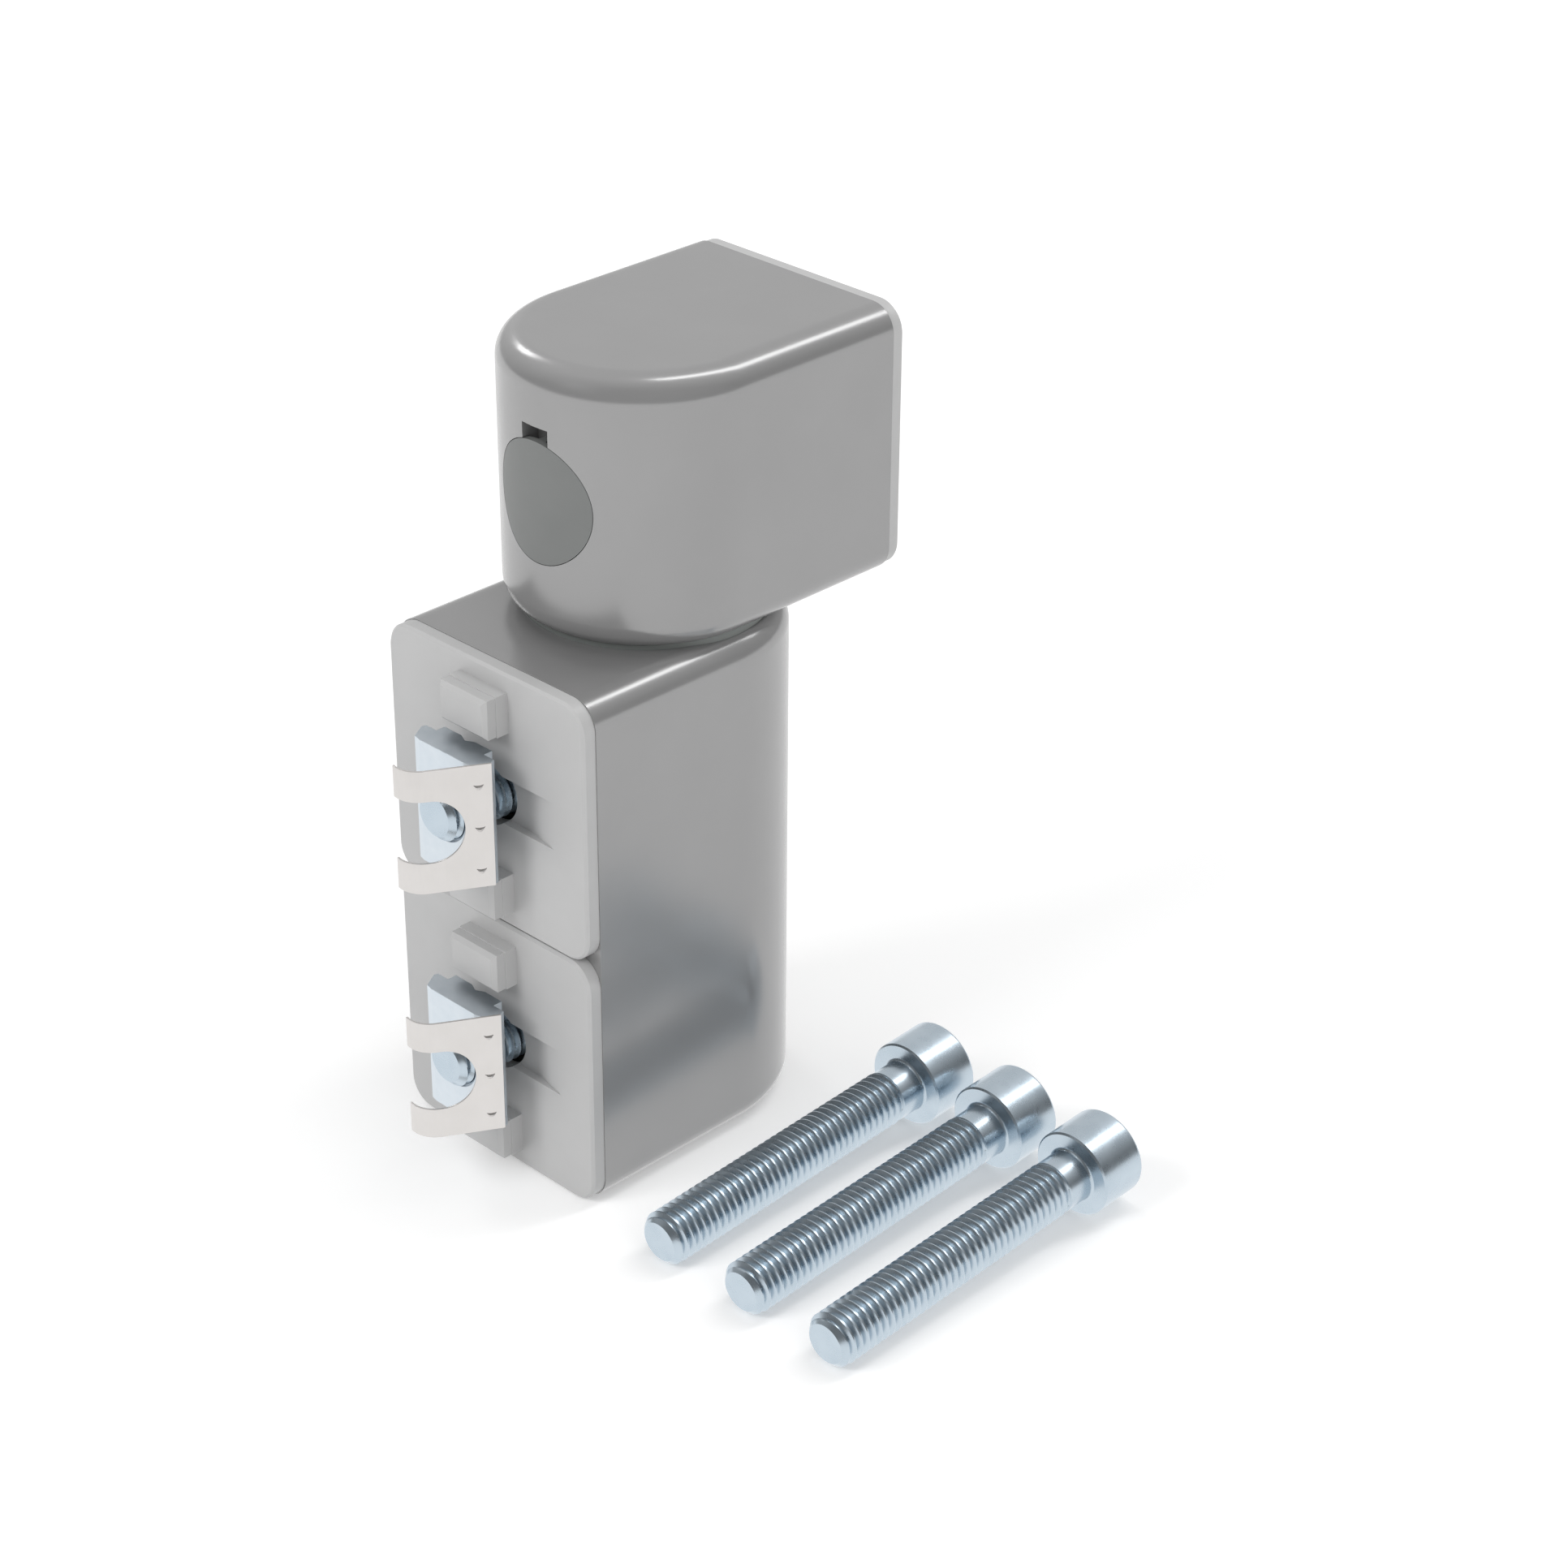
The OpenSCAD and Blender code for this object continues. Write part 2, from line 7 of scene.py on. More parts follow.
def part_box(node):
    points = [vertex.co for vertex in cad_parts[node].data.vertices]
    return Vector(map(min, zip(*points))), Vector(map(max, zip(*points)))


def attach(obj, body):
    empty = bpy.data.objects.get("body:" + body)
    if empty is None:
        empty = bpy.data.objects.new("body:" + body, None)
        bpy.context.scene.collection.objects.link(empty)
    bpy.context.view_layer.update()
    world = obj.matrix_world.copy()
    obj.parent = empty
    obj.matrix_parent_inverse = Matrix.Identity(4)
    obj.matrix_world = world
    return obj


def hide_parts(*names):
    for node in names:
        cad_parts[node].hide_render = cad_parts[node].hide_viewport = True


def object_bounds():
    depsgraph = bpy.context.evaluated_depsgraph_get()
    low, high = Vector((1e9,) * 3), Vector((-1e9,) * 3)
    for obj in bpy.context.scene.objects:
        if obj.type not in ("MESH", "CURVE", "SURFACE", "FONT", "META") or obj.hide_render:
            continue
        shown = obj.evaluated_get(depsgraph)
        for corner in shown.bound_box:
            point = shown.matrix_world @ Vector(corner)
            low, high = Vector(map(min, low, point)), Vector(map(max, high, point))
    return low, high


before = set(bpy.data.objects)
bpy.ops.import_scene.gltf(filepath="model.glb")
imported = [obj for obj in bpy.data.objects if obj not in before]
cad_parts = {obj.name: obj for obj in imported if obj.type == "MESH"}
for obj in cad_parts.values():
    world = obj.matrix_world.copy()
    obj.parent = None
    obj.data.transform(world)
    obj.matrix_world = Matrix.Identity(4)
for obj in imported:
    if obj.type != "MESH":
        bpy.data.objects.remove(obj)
cad_box = [list(corner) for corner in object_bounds()]
MM = 0.001
scene = bpy.context.scene
scene.view_settings.view_transform = "Standard"


# Die-cast housings
# Two D-shaped zinc die castings carry the joint. They are cast in one piece each, trimmed,
# and powder coated in a semi-gloss grey, which rounds every edge a little.

HOUSINGS = {"lower_housing": "lower", "upper_housing": "upper"}
CAST_EDGE = 0.35 * MM
CAST_GREY = "#9e9e9e"
CAST_GREY_DARK = "#989898"
COAT_METAL = 0.42
COAT_ROUGHNESS = (0.18, 0.25)
ORANGE_PEEL = 0.9 * MM
PEEL_DEPTH = 0.02 * MM
TONE_PATCH = 11 * MM
GLOSS_PATCH = 7 * MM
WELD_GAP = 0.002 * MM
FLAT_WITHIN = math.radians(0.5)


def linear(code):
    """Turns an sRGB hex value into a linear colour."""
    parts = [int(code[i:i + 2], 16) / 255 for i in (1, 3, 5)]
    return [p / 12.92 if p <= 0.04045 else ((p + 0.055) / 1.055) ** 2.4 for p in parts] + [1.0]


def add(tree, kind, inputs=None, **settings):
    """Adds one node, sets its properties and fills its inputs with values or links."""
    made = tree.nodes.new(kind)
    for name, value in settings.items():
        setattr(made, name, value)
    for name, value in (inputs or {}).items():
        if isinstance(value, bpy.types.NodeSocket):
            tree.links.new(value, made.inputs[name])
        else:
            made.inputs[name].default_value = value
    return made


def new_material(name):
    """An empty material and its node tree."""
    material = bpy.data.materials.new(name)
    material.use_nodes = True
    material.node_tree.nodes.clear()
    return material, material.node_tree


def mottled(tree, place, pale, dark, patch):
    """A colour that drifts between two close tones in soft patches of a given size. Inputs 6
    and 7 and output 2 of a mix node are its colours."""
    noise = add(tree, "ShaderNodeTexNoise", {"Vector": place, "Scale": 1 / patch, "Detail": 3.0})
    tones = add(tree, "ShaderNodeMix", {"Factor": noise.outputs["Fac"]}, data_type="RGBA")
    tones.inputs[6].default_value = linear(dark)
    tones.inputs[7].default_value = linear(pale)
    return tones.outputs[2]


def powder_coat():
    """Semi-gloss metallic powder coat: even grey, a faint orange-peel ripple and narrow
    highlights. Its metal flake is drawn as a share of metal in the whole coat."""
    material, tree = new_material("powder_coated_zinc_casting")
    place = add(tree, "ShaderNodeTexCoord").outputs["Object"]
    ripple = add(tree, "ShaderNodeTexNoise", {"Vector": place, "Scale": 1 / ORANGE_PEEL, "Detail": 2.0})
    bump = add(tree, "ShaderNodeBump", {"Height": ripple.outputs["Fac"], "Strength": 0.02,
                                        "Distance": PEEL_DEPTH})
    flow = add(tree, "ShaderNodeTexNoise", {"Vector": place, "Scale": 1 / GLOSS_PATCH, "Detail": 4.0})
    rough = add(tree, "ShaderNodeMapRange", {"Value": flow.outputs["Fac"], "To Min": COAT_ROUGHNESS[0],
                                             "To Max": COAT_ROUGHNESS[1]})
    shader = add(tree, "ShaderNodeBsdfPrincipled", {
        "Base Color": mottled(tree, place, CAST_GREY, CAST_GREY_DARK, TONE_PATCH),
        "Roughness": rough.outputs["Result"], "Normal": bump.outputs["Normal"],
        "Metallic": COAT_METAL, "Specular IOR Level": 0.6})
    add(tree, "ShaderNodeOutputMaterial", {"Surface": shader.outputs["BSDF"]})
    return material


def welded_copy(node):
    """A copy of a CAD node's mesh with its loose triangles welded and its flat faces joined."""
    piece = bpy.data.objects.new(node + "_finished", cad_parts[node].data.copy())
    scene.collection.objects.link(piece)
    shape = bmesh.new()
    shape.from_mesh(piece.data)
    bmesh.ops.remove_doubles(shape, verts=shape.verts, dist=WELD_GAP)
    bmesh.ops.dissolve_limit(shape, angle_limit=FLAT_WITHIN, verts=shape.verts, edges=shape.edges)
    shape.to_mesh(piece.data)
    shape.free()
    return piece


def ease_edges(piece, width, segments=2, angle=30):
    """Rounds the edges sharper than an angle and shades the faces smooth between them."""
    bevel = piece.modifiers.new("edges", "BEVEL")
    bevel.width = width
    bevel.segments = segments
    bevel.limit_method = "ANGLE"
    bevel.angle_limit = math.radians(angle)
    bevel.use_clamp_overlap = True
    bevel.harden_normals = False
    piece.data.polygons.foreach_set("use_smooth", [True] * len(piece.data.polygons))
    weighted = piece.modifiers.new("normals", "WEIGHTED_NORMAL")
    weighted.keep_sharp = True
    weighted.weight = 80


def finish_piece(piece, body, material, slot, *nodes):
    """Paints a piece, lets it ride on its body and puts it in place of its CAD nodes."""
    piece.data.materials.clear()
    piece.data.materials.append(material)
    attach(piece, body)
    if nodes:
        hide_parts(*nodes)


coat = powder_coat()
for node, body in HOUSINGS.items():
    housing = welded_copy(node)
    ease_edges(housing, CAST_EDGE)
    finish_piece(housing, body, coat, "die_cast", node)


# Friction sleeve
# A barrel-shaped tube of hard grey plastic, injection moulded with a fine matt grain. It is
# pressed into both housings and its grip gives the joint its torque.

SLEEVE_GREY = "#767a78"
SLEEVE_GREY_DARK = "#707472"
SLEEVE_EDGE = 0.2 * MM
GRAIN_DEPTH = 0.03 * MM
FLOW_PATCH = 5 * MM
PIGMENT_PATCH = 6 * MM


def moulded_plastic(name, pale, dark, grain, roughness):
    """Injection-moulded plastic with a fine spark-eroded grain. The grain is drawn coarser
    than the real 0.05 mm so that it shows."""
    material, tree = new_material(name)
    place = add(tree, "ShaderNodeTexCoord").outputs["Object"]
    grit = add(tree, "ShaderNodeTexNoise", {"Vector": place, "Scale": 1 / grain, "Detail": 3.0})
    bump = add(tree, "ShaderNodeBump", {"Height": grit.outputs["Fac"], "Strength": 0.12,
                                        "Distance": GRAIN_DEPTH})
    flow = add(tree, "ShaderNodeTexNoise", {"Vector": place, "Scale": 1 / FLOW_PATCH, "Detail": 2.0})
    rough = add(tree, "ShaderNodeMapRange", {"Value": flow.outputs["Fac"], "To Min": roughness - 0.04,
                                             "To Max": roughness + 0.04})
    shader = add(tree, "ShaderNodeBsdfPrincipled", {
        "Base Color": mottled(tree, place, pale, dark, PIGMENT_PATCH),
        "Roughness": rough.outputs["Result"], "Normal": bump.outputs["Normal"]})
    add(tree, "ShaderNodeOutputMaterial", {"Surface": shader.outputs["BSDF"]})
    return material


sleeve_plastic = moulded_plastic("moulded_acetal_sleeve", SLEEVE_GREY, SLEEVE_GREY_DARK,
                                 grain=0.3 * MM, roughness=0.46)
sleeve = welded_copy("friction_sleeve")
ease_edges(sleeve, SLEEVE_EDGE)
finish_piece(sleeve, "sleeve", sleeve_plastic, "sleeve_plastic", "friction_sleeve")


# Adapter plates
# Keyed plates of light grey plastic between each housing and its profile. Keys on one side
# drop into the ribbed back of the housing, and keys on the other side enter the profile slot.

PLATES = {"adapter_plate_bottom": "lower", "adapter_plate_middle": "lower",
          "adapter_plate_top": "upper"}
PLATE_GREY = "#bfbfbf"
PLATE_GREY_DARK = "#b9b9b9"
PLATE_EDGE = 0.25 * MM

plate_plastic = moulded_plastic("moulded_nylon_plate", PLATE_GREY, PLATE_GREY_DARK,
                                grain=0.35 * MM, roughness=0.4)
for node, body in PLATES.items():
    plate = welded_copy(node)
    ease_edges(plate, PLATE_EDGE)
    finish_piece(plate, body, plate_plastic, "plate_plastic", node)


# Washers
# Plain steel washers, punched from sheet and zinc plated. One lies under each screw head,
# on the seat at the bottom of its bore.

WASHERS = {"washer_bottom": "lower", "washer_middle": "lower", "washer_top": "upper"}
WASHER_EDGE = 0.12 * MM
WASHER_ZINC = "#c8cdcf"
WASHER_ZINC_DARK = "#b8bec1"
SCRATCH_W = 0.25 * MM
SCRATCH_DEPTH = 0.01 * MM


def zinc_plate(name, pale, dark, roughness, patch):
    """Bright zinc plating: a bluish metal whose tint and gloss drift in small patches, with
    short fine scratches from tumbling in the plating drum."""
    material, tree = new_material(name)
    place = add(tree, "ShaderNodeTexCoord").outputs["Object"]
    haze = add(tree, "ShaderNodeTexNoise", {"Vector": place, "Scale": 1 / patch, "Detail": 5.0,
                                            "Roughness": 0.65})
    rough = add(tree, "ShaderNodeMapRange", {"Value": haze.outputs["Fac"], "To Min": roughness - 0.08,
                                             "To Max": roughness + 0.1})
    scratch = add(tree, "ShaderNodeTexNoise", {"Vector": place, "Scale": 1 / SCRATCH_W, "Detail": 2.0})
    bump = add(tree, "ShaderNodeBump", {"Height": scratch.outputs["Fac"], "Strength": 0.08,
                                        "Distance": SCRATCH_DEPTH})
    shader = add(tree, "ShaderNodeBsdfPrincipled", {
        "Base Color": mottled(tree, place, pale, dark, patch), "Metallic": 1.0,
        "Roughness": rough.outputs["Result"], "Normal": bump.outputs["Normal"]})
    add(tree, "ShaderNodeOutputMaterial", {"Surface": shader.outputs["BSDF"]})
    return material


washer_zinc = zinc_plate("zinc_plated_washer", WASHER_ZINC, WASHER_ZINC_DARK,
                         roughness=0.34, patch=2.5 * MM)
for node, body in WASHERS.items():
    washer = welded_copy(node)
    ease_edges(washer, WASHER_EDGE)
    finish_piece(washer, body, washer_zinc, "zinc_washer", node)


# Screws
# Socket head cap screws of zinc-plated steel: a turned head with a hexagon socket, a plain
# neck and a rolled M8 thread. Three are fitted, and three longer ones lie beside the joint.

HEAD_R = 6.5 * MM
HEAD_H = 8 * MM
HEAD_BEVEL = 0.55 * MM
SOCKET_W = 6 * MM
SOCKET_DEPTH = 4 * MM
SOCKET_EDGE = 0.1 * MM
DRILL_DEPTH = 1.2 * MM
DRILL_TIP_R = 0.3 * MM
NECK_R = 3.9 * MM
NECK_LEN = 4.5 * MM
NECK_CORE_R = 2.9 * MM
# The fillet under the head: height, and how far it swells out over the neck
UNDER_HEAD = [(-0.5 * MM, 0), (-0.2 * MM, 0.1 * MM), (0, 0.4 * MM)]
TURNED_EDGE = 0.25 * MM
THREAD_R = 4 * MM
THREAD_ROOT_R = 3.3 * MM
THREAD_PITCH = 1.25 * MM
TIP_BEVEL = 1 * MM
FITTED_LEN = 45 * MM
SPARE_LEN = 50 * MM
# Degrees that each spare screw has rolled round its own axis
SPARE_TURNS = (8, 41, 23)
SCREW_ZINC = "#c9d5de"
SCREW_ZINC_DARK = "#b3c1cc"
SCREW_CREASE = 38
SIDES = 64
ROWS_PER_TURN = 8
FLAT_SHARE = 1 / 8
MERGE_GAP = 0.005 * MM
END_GAP = 0.001 * MM


def thread_tree():
    """Geometry nodes for a rolled thread along Z, from its tip at z = 0 upwards. A grid is
    wrapped round the axis and sheared by one pitch, so that its rows follow the helix."""
    tree = bpy.data.node_groups.new("rolled_thread", "GeometryNodeTree")
    tree.interface.new_socket("Thread", in_out="OUTPUT", socket_type="NodeSocketGeometry")
    for name in ("Length", "Pitch", "Crest radius", "Root radius", "Tip bevel"):
        tree.interface.new_socket(name, in_out="INPUT", socket_type="NodeSocketFloat")
    tree.interface.new_socket("Finish", in_out="INPUT", socket_type="NodeSocketMaterial")
    given = add(tree, "NodeGroupInput").outputs
    length, pitch = given["Length"], given["Pitch"]
    reach = add(tree, "ShaderNodeMath", {0: length, 1: pitch}, operation="ADD").outputs[0]
    turns = add(tree, "ShaderNodeMath", {0: reach, 1: pitch}, operation="DIVIDE").outputs[0]
    rows = add(tree, "ShaderNodeMath", {0: turns, 1: float(ROWS_PER_TURN)},
               operation="MULTIPLY").outputs[0]
    rows = add(tree, "ShaderNodeMath", {0: rows, 1: 1.0}, operation="ADD").outputs[0]
    grid = add(tree, "GeometryNodeMeshGrid", {"Size X": 1.0, "Size Y": 1.0, "Vertices X": SIDES + 1,
                                              "Vertices Y": rows})
    spot = add(tree, "ShaderNodeSeparateXYZ", {0: add(tree, "GeometryNodeInputPosition").outputs[0]})
    round_share = add(tree, "ShaderNodeMath", {0: spot.outputs["X"], 1: 0.5},
                      operation="ADD").outputs[0]
    along_share = add(tree, "ShaderNodeMath", {0: spot.outputs["Y"], 1: 0.5},
                      operation="ADD").outputs[0]
    turn = add(tree, "ShaderNodeMath", {0: along_share, 1: turns}, operation="MULTIPLY").outputs[0]
    climb = add(tree, "ShaderNodeMath", {0: turn, 1: round_share}, operation="ADD").outputs[0]
    climb = add(tree, "ShaderNodeMath", {0: climb, 1: 1.0}, operation="SUBTRACT").outputs[0]
    height = add(tree, "ShaderNodeMath", {0: climb, 1: pitch}, operation="MULTIPLY").outputs[0]
    height = add(tree, "ShaderNodeClamp", {"Value": height, "Min": 0.0, "Max": length}).outputs[0]
    shifted = add(tree, "ShaderNodeMath", {0: turn, 1: FLAT_SHARE / 2},
                  operation="SUBTRACT").outputs[0]
    wave = add(tree, "ShaderNodeMath", {0: shifted, 1: 0.5}, operation="PINGPONG").outputs[0]
    flank = add(tree, "ShaderNodeMapRange", {
        "Value": wave, "From Min": FLAT_SHARE / 2, "From Max": 0.5 - FLAT_SHARE / 2,
        "To Min": given["Root radius"], "To Max": given["Crest radius"]})
    tip_r = add(tree, "ShaderNodeMath", {0: given["Crest radius"], 1: given["Tip bevel"]},
                operation="SUBTRACT").outputs[0]
    bevel = add(tree, "ShaderNodeMath", {0: tip_r, 1: height}, operation="ADD").outputs[0]
    radius = add(tree, "ShaderNodeMath", {0: flank.outputs["Result"], 1: bevel},
                 operation="MINIMUM").outputs[0]
    below = add(tree, "ShaderNodeMath", {0: length, 1: END_GAP}, operation="SUBTRACT").outputs[0]
    at_end = add(tree, "ShaderNodeMath", {0: height, 1: below}, operation="GREATER_THAN").outputs[0]
    radius = add(tree, "ShaderNodeMix", {"Factor": at_end, "A": radius, "B": tip_r}).outputs[0]
    angle = add(tree, "ShaderNodeMath", {0: round_share, 1: 2 * math.pi},
                operation="MULTIPLY").outputs[0]
    east = add(tree, "ShaderNodeMath", {0: angle}, operation="COSINE").outputs[0]
    north = add(tree, "ShaderNodeMath", {0: angle}, operation="SINE").outputs[0]
    east = add(tree, "ShaderNodeMath", {0: east, 1: radius}, operation="MULTIPLY").outputs[0]
    north = add(tree, "ShaderNodeMath", {0: north, 1: radius}, operation="MULTIPLY").outputs[0]
    place = add(tree, "ShaderNodeCombineXYZ", {"X": east, "Y": north, "Z": height}).outputs[0]
    wrapped = add(tree, "GeometryNodeSetPosition", {"Geometry": grid.outputs["Mesh"],
                                                    "Position": place})
    tip = add(tree, "GeometryNodeMeshCircle", {"Vertices": SIDES, "Radius": tip_r}, fill_type="NGON")
    up = add(tree, "ShaderNodeCombineXYZ", {"Z": length}).outputs[0]
    top = add(tree, "GeometryNodeTransform", {"Geometry": tip.outputs[0], "Translation": up})
    under = add(tree, "GeometryNodeFlipFaces", {"Mesh": tip.outputs[0]})
    joined = add(tree, "GeometryNodeJoinGeometry")
    for part in (under, top, wrapped):
        tree.links.new(part.outputs[0], joined.inputs[0])
    merged = add(tree, "GeometryNodeMergeByDistance", {"Geometry": joined.outputs[0],
                                                       "Distance": MERGE_GAP})
    real = add(tree, "GeometryNodeRealizeInstances", {"Geometry": merged.outputs[0]})
    painted = add(tree, "GeometryNodeSetMaterial", {"Geometry": real.outputs[0],
                                                    "Material": given["Finish"]})
    add(tree, "NodeGroupOutput", {"Thread": painted.outputs[0]})
    return tree


def set_input(modifier, name, value):
    """Sets a named input of a geometry nodes modifier by its socket's identifier."""
    sockets = modifier.node_group.interface.items_tree
    modifier[next(s.identifier for s in sockets if s.name == name and s.in_out == "INPUT")] = value


def thread_mesh(tree, length, finish):
    """A plain mesh of one thread of the given length."""
    holder = bpy.data.objects.new("thread", bpy.data.meshes.new("thread"))
    scene.collection.objects.link(holder)
    nodes = holder.modifiers.new("thread", "NODES")
    nodes.node_group = tree
    for name, value in (("Length", length), ("Pitch", THREAD_PITCH), ("Crest radius", THREAD_R),
                        ("Root radius", THREAD_ROOT_R), ("Tip bevel", TIP_BEVEL), ("Finish", finish)):
        set_input(nodes, name, value)
    result = holder.evaluated_get(bpy.context.evaluated_depsgraph_get())
    mesh = bpy.data.meshes.new_from_object(result)
    bpy.data.objects.remove(holder)
    return mesh


def hexagon_r(width, angle):
    """Distance from the centre to a hexagon's side at an angle."""
    return width / 2 / math.cos((angle % (math.pi / 3)) - math.pi / 6)


def head_rings():
    """Rings of the neck, the head and its socket, from the neck's inner end to the socket's
    drill point. A ring is its height, its radius and, in the socket, a hexagon's width."""
    neck = [(-NECK_LEN - 0.3 * MM, NECK_CORE_R), (-NECK_LEN, NECK_R - TURNED_EDGE),
            (-NECK_LEN + TURNED_EDGE, NECK_R)]
    neck += [(z, NECK_R + swell) for z, swell in UNDER_HEAD]
    head = [(0, HEAD_R - TURNED_EDGE), (TURNED_EDGE, HEAD_R)]
    head += [(HEAD_H - HEAD_BEVEL * (1 - math.sin(a)), HEAD_R - HEAD_BEVEL * (1 - math.cos(a)))
             for a in (math.radians(d) for d in (0, 22, 45, 68, 90))]
    floor = HEAD_H - SOCKET_DEPTH
    socket = [(HEAD_H, SOCKET_W + SOCKET_EDGE), (HEAD_H - SOCKET_EDGE, SOCKET_W), (floor, SOCKET_W),
              (floor - 0.2 * MM, SOCKET_W * 0.93)]
    return ([(z, r, None) for z, r in neck + head] + [(z, 0, width) for z, width in socket]
            + [(floor - DRILL_DEPTH, DRILL_TIP_R, None)])


def screw_mesh(name, length, tree, finish):
    """One screw along Z, with the underside of its head at z = 0."""
    shape = bmesh.new()
    rings = []
    for z, r, hexagon in head_rings():
        ring = []
        for k in range(SIDES):
            a = 2 * math.pi * k / SIDES
            reach = hexagon_r(hexagon, a) if hexagon else r
            ring.append(shape.verts.new((reach * math.cos(a), reach * math.sin(a), z)))
        rings.append(ring)
    for low, high in zip(rings, rings[1:]):
        for k in range(SIDES):
            after = (k + 1) % SIDES
            shape.faces.new((low[k], low[after], high[after], high[k]))
    shape.faces.new(list(reversed(rings[0])))
    shape.faces.new(rings[-1])
    thread = thread_mesh(tree, length - NECK_LEN, finish)
    thread.transform(Matrix.Translation((0, 0, -length)))
    shape.from_mesh(thread)
    bmesh.ops.recalc_face_normals(shape, faces=shape.faces)
    mesh = bpy.data.meshes.new(name)
    shape.to_mesh(mesh)
    shape.free()
    mesh.polygons.foreach_set("use_smooth", [True] * len(mesh.polygons))
    mesh.set_sharp_from_angle(angle=math.radians(SCREW_CREASE))
    return mesh


def placed_screw(name, mesh, places):
    """One object that holds a copy of a screw at each place."""
    shape = bmesh.new()
    for place in places:
        copy = mesh.copy()
        copy.transform(place)
        shape.from_mesh(copy)
        bpy.data.meshes.remove(copy)
    merged = bpy.data.meshes.new(name)
    shape.to_mesh(merged)
    shape.free()
    piece = bpy.data.objects.new(name, merged)
    scene.collection.objects.link(piece)
    weighted = piece.modifiers.new("normals", "WEIGHTED_NORMAL")
    weighted.keep_sharp = True
    return piece


screw_zinc = zinc_plate("zinc_plated_screw", SCREW_ZINC, SCREW_ZINC_DARK,
                        roughness=0.27, patch=3 * MM)
rolled_thread = thread_tree()
fitted = screw_mesh("fitted_screw", FITTED_LEN, rolled_thread, screw_zinc)
for level in ("bottom", "middle", "top"):
    node = "screw_" + level
    low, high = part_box(node)
    turned = level == "top"
    head_end = low.y if turned else high.y
    seat = head_end + HEAD_H if turned else head_end - HEAD_H
    tilt = Matrix.Rotation(math.radians(90 if turned else -90), 4, "X")
    place = Matrix.Translation(((low.x + high.x) / 2, seat, (low.z + high.z) / 2)) @ tilt
    screw = placed_screw(node + "_threaded", fitted, [place])
    finish_piece(screw, node, screw_zinc, "zinc_screw", node)

spare = screw_mesh("spare_screw", SPARE_LEN, rolled_thread, screw_zinc)
low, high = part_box("spare_screws")
lean = math.atan((HEAD_R - THREAD_R) / (SPARE_LEN - TIP_BEVEL))
seat_y = high.y - HEAD_H * math.cos(lean) - (HEAD_R - HEAD_BEVEL) * math.sin(lean)
rows = [low.x + HEAD_R, (low.x + high.x) / 2, high.x - HEAD_R]
spare_places = [Matrix.Translation((x, seat_y, HEAD_R * math.cos(lean)))
                @ Matrix.Rotation(lean - math.pi / 2, 4, "X")
                @ Matrix.Rotation(math.radians(turn), 4, "Z") for x, turn in zip(rows, SPARE_TURNS)]
spares = placed_screw("spare_screws_threaded", spare, spare_places)
finish_piece(spares, "spares", screw_zinc, "zinc_screw", "spare_screws")


# Slot nuts
# Steel T-slot nuts, drawn to profile, sawn to length, drilled, tapped M8 and zinc plated.
# Each is drawn against the slot lips by its screw.

NUTS = {"slot_nut_bottom": "nut_bottom", "slot_nut_middle": "nut_middle", "slot_nut_top": "nut_top"}
NUT_EDGE = 0.15 * MM
NUT_ZINC = "#dde4ea"
NUT_ZINC_DARK = "#c9d3db"

nut_zinc = zinc_plate("zinc_plated_drawn_steel", NUT_ZINC, NUT_ZINC_DARK,
                      roughness=0.33, patch=2 * MM)
for node, body in NUTS.items():
    nut = welded_copy(node)
    ease_edges(nut, NUT_EDGE, angle=10)
    finish_piece(nut, body, nut_zinc, "zinc_nut", node)


# Nut springs
# Leaf springs of thin stainless sheet, stamped, curled and punched onto one flank of each
# slot nut. They press the nut into the slot and keep it where it is put.

SPRINGS = {"nut_spring_bottom": "nut_bottom", "nut_spring_middle": "nut_middle",
           "nut_spring_top": "nut_top"}
SPRING_EDGE = 0.05 * MM
SPRING_T = 0.3 * MM
# Where the root of a leaf starts, and which way the leaf runs from there, seen from above
LEAF_ROOT = (7.2 * MM, -35.6 * MM)
LEAF_TURN = math.radians(240)
PUNCH_STEP = 6.5 * MM
PUNCH_INSET = 1.9 * MM
PUNCH_W = 1.5 * MM
PUNCH_SINK = 0.02 * MM
# How far each row of a mark sags and stands out, in the middle of the mark
PUNCH_ROWS = [(0.86 * MM, 0), (0.64 * MM, 0.26 * MM), (0.14 * MM, 0)]
PUNCH_PARTS = 8
LINE_W = 0.2 * MM
LINE_DEPTH = 0.01 * MM
TINT_PATCH = 4 * MM
STAINLESS = "#dedbd9"
STAINLESS_DARK = "#d5d2cf"


def rolled_stainless():
    """Bright rolled stainless sheet: warm white, with faint lines along the rolling direction."""
    material, tree = new_material("rolled_stainless_sheet")
    place = add(tree, "ShaderNodeTexCoord").outputs["Object"]
    drawn = add(tree, "ShaderNodeMapping", {"Vector": place, "Scale": (1.0, 1.0, 0.06)})
    lines = add(tree, "ShaderNodeTexNoise", {"Vector": drawn.outputs[0], "Scale": 1 / LINE_W,
                                             "Detail": 3.0})
    bump = add(tree, "ShaderNodeBump", {"Height": lines.outputs["Fac"], "Strength": 0.06,
                                        "Distance": LINE_DEPTH})
    rough = add(tree, "ShaderNodeMapRange", {"Value": lines.outputs["Fac"], "To Min": 0.3,
                                             "To Max": 0.42})
    shader = add(tree, "ShaderNodeBsdfPrincipled", {
        "Base Color": mottled(tree, place, STAINLESS, STAINLESS_DARK, TINT_PATCH),
        "Metallic": 1.0, "Roughness": rough.outputs["Result"], "Normal": bump.outputs["Normal"]})
    add(tree, "ShaderNodeOutputMaterial", {"Surface": shader.outputs["BSDF"]})
    return material


